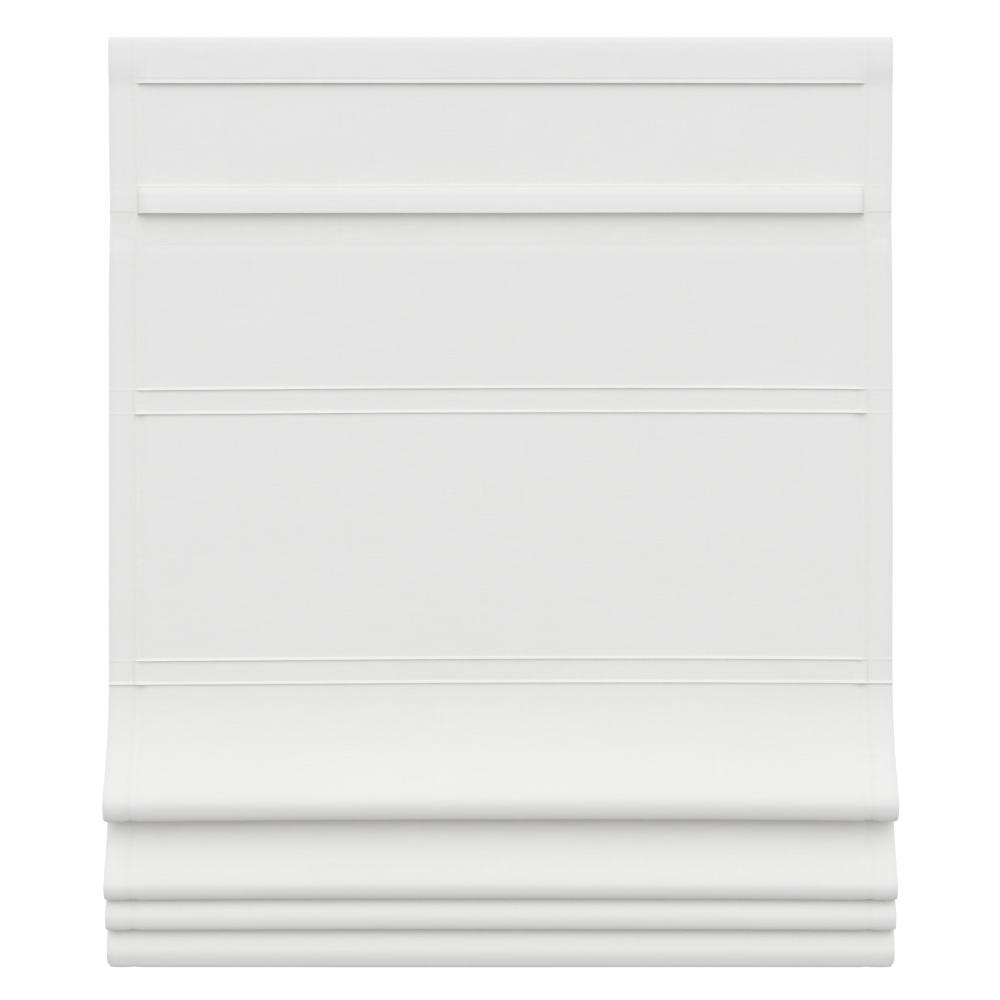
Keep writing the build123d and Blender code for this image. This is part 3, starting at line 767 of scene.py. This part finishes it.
stitching, stitch_inputs, given, result = node_tree("stitch_row", [
    ("Pitch", "NodeSocketFloat"), ("Length", "NodeSocketFloat"), ("Thread", "NodeSocketFloat"),
    ("Material", "NodeSocketMaterial")])
path = stitching.nodes.new("GeometryNodeMeshToCurve")
spaced = stitching.nodes.new("GeometryNodeResampleCurve")
spaced.mode = "LENGTH"
along = stitching.nodes.new("GeometryNodeInputTangent")
turned = stitching.nodes.new("FunctionNodeAlignRotationToVector")
turned.axis = "X"
bead = stitching.nodes.new("GeometryNodeMeshUVSphere")
bead.inputs["Segments"].default_value = 8
bead.inputs["Rings"].default_value = 6
bead.inputs["Radius"].default_value = 0.5
stretched = stitching.nodes.new("GeometryNodeTransform")
sizes = stitching.nodes.new("ShaderNodeCombineXYZ")
placed = stitching.nodes.new("GeometryNodeInstanceOnPoints")
for source, target in (
        (given.outputs["Geometry"], path.inputs["Mesh"]),
        (path.outputs["Curve"], spaced.inputs["Curve"]),
        (given.outputs["Pitch"], spaced.inputs["Length"]),
        (along.outputs["Tangent"], turned.inputs["Vector"]),
        (given.outputs["Length"], sizes.inputs["X"]),
        (given.outputs["Thread"], sizes.inputs["Y"]),
        (given.outputs["Thread"], sizes.inputs["Z"]),
        (bead.outputs["Mesh"], stretched.inputs["Geometry"]),
        (sizes.outputs["Vector"], stretched.inputs["Scale"]),
        (spaced.outputs["Curve"], placed.inputs["Points"]),
        (stretched.outputs["Geometry"], placed.inputs["Instance"]),
        (turned.outputs["Rotation"], placed.inputs["Rotation"])):
    stitching.links.new(source, target)
close_tree(stitching, given, result, placed.outputs["Instances"])


def stitches(name, lines, pitch, length, body):
    """One body's stitches along some lines."""
    points = [p for line in lines for p in line]
    edges, first = [], 0
    for line in lines:
        edges += [(first + k, first + k + 1) for k in range(len(line) - 1)]
        first += len(line)
    sewn = grown(name, points, edges, stitching, stitch_inputs,
                 {"Pitch": pitch, "Length": length, "Thread": 0.0005, "Material": thread})
    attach(sewn, body)


def back_line(piece, columns, x, first, last):
    """Points just behind a cloth's back, down the column nearest to x."""
    column = min(range(len(columns)), key=lambda j: abs(columns[j] - x))
    half = len(piece.data.vertices) // 2
    spots = [piece.data.vertices[half + i * len(columns) + column].co
             for i in range(half // len(columns))]
    return [(p.x, p.y + 0.0002, p.z) for p in spots if last < p.z < first]


stitch_x = CLOTH_HALF - SIDE_HEM - 0.0018
header_back = CLOTH_TOP - 0.040
side_lines = [back_line(upper_cloth, cloth_columns(), side * stitch_x, header_back,
                        CLOTH_TOP - FOLDS[0]["start"]) for side in (-1, 1)]
stitches("side_hem_stitches", side_lines, 0.0060, 0.0034, "headrail_and_upper_cloth")
for number in range(6):
    slat_low, slat_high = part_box(f"rib_slat_{number + 1}")
    seam_y = pocket_base + 0.0024
    across = [-0.9955 * CLOTH_HALF, 0.0, 0.9955 * CLOTH_HALF]
    seams = [[(x, seam_y - 0.0005, slat_high.z + 0.0021) for x in across],
             [(x, seam_y, slat_low.z - 0.0009) for x in across]]
    stitches(f"pocket_stitches_{number + 1}", seams, 0.0042, 0.0030, rib_bodies[number])
seam_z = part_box("bottom_bar")[1].z + 0.0040
flap_row = [i for i, (_, z) in enumerate(hem_rows) if i > 0.85 * len(hem_rows) and z > seam_z][0]
wide = len(cloth_columns())
hem_seam = [bottom_cloth.data.vertices[flap_row * wide + j].co for j in range(1, wide - 1)]
stitches("bottom_hem_stitches", [[(p.x, p.y + 0.0001, p.z) for p in hem_seam]], 0.0042, 0.0030,
         "bottom_bar")

# ---------------------------------------------------------------------------------------------
# Cord rings: clear white mouldings, three to a rib, each whipped to its pocket with three turns
# of thread.
# ---------------------------------------------------------------------------------------------
ring_plastic = coated("ring_plastic", (0.78, 0.78, 0.76), (0.84, 0.84, 0.82), 0.22, 1200.0,
                      bump=0.05)
looping, loop_inputs, given, result = node_tree("loop_row", [
    ("Loop Radius", "NodeSocketFloat"), ("Wire Radius", "NodeSocketFloat"),
    ("Facing", "NodeSocketVector"), ("Material", "NodeSocketMaterial")])
hoop = looping.nodes.new("GeometryNodeCurvePrimitiveCircle")
hoop.inputs["Resolution"].default_value = 40
wire = looping.nodes.new("GeometryNodeCurvePrimitiveCircle")
wire.inputs["Resolution"].default_value = 14
swept = looping.nodes.new("GeometryNodeCurveToMesh")
placed = looping.nodes.new("GeometryNodeInstanceOnPoints")
facing = looping.nodes.new("FunctionNodeEulerToRotation")
for source, target in (
        (given.outputs["Loop Radius"], hoop.inputs["Radius"]),
        (given.outputs["Wire Radius"], wire.inputs["Radius"]),
        (hoop.outputs["Curve"], swept.inputs["Curve"]),
        (wire.outputs["Curve"], swept.inputs["Profile Curve"]),
        (given.outputs["Geometry"], placed.inputs["Points"]),
        (swept.outputs["Mesh"], placed.inputs["Instance"]),
        (given.outputs["Facing"], facing.inputs["Euler"]),
        (facing.outputs["Rotation"], placed.inputs["Rotation"])):
    looping.links.new(source, target)
close_tree(looping, given, result, placed.outputs["Instances"])
for number in range(6):
    ring_low, ring_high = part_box(f"rib_rings_{number + 1}")
    wire_radius = (ring_high.z - ring_low.z) / 2
    ring_radius = (ring_high.y - ring_low.y) / 2 - wire_radius
    spread = ring_high.x - ring_radius - wire_radius
    middle_y, middle_z = (ring_low.y + ring_high.y) / 2, (ring_low.z + ring_high.z) / 2
    spots = [(x, middle_y, middle_z) for x in (-spread, 0.0, spread)]
    rings = grown(f"cord_rings_{number + 1}", spots, [], looping, loop_inputs,
                  {"Loop Radius": ring_radius, "Wire Radius": wire_radius,
                   "Facing": (0.0, 0.0, 0.0), "Material": ring_plastic})
    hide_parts(f"rib_rings_{number + 1}")
    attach(rings, rib_bodies[number])
    turns = [(x + step, middle_y - ring_radius - 0.0002, middle_z)
             for x, _, _ in spots for step in (-0.0007, 0.0, 0.0007)]
    whipping = grown(f"ring_whipping_{number + 1}", turns, [], looping, loop_inputs,
                     {"Loop Radius": wire_radius + 0.00055, "Wire Radius": 0.0003,
                      "Facing": (0.0, math.pi / 2, 0.0), "Material": thread})
    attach(whipping, rib_bodies[number])

# ---------------------------------------------------------------------------------------------
# Bottom bar: a white-coated flat bar in the hem that keeps the blind straight, with a moulded
# cap on each end.
# ---------------------------------------------------------------------------------------------
finish_nodes(rail_coat, "bottom_bar")
finish_nodes(cap_plastic, "bottom_bar_cap_left", "bottom_bar_cap_right")
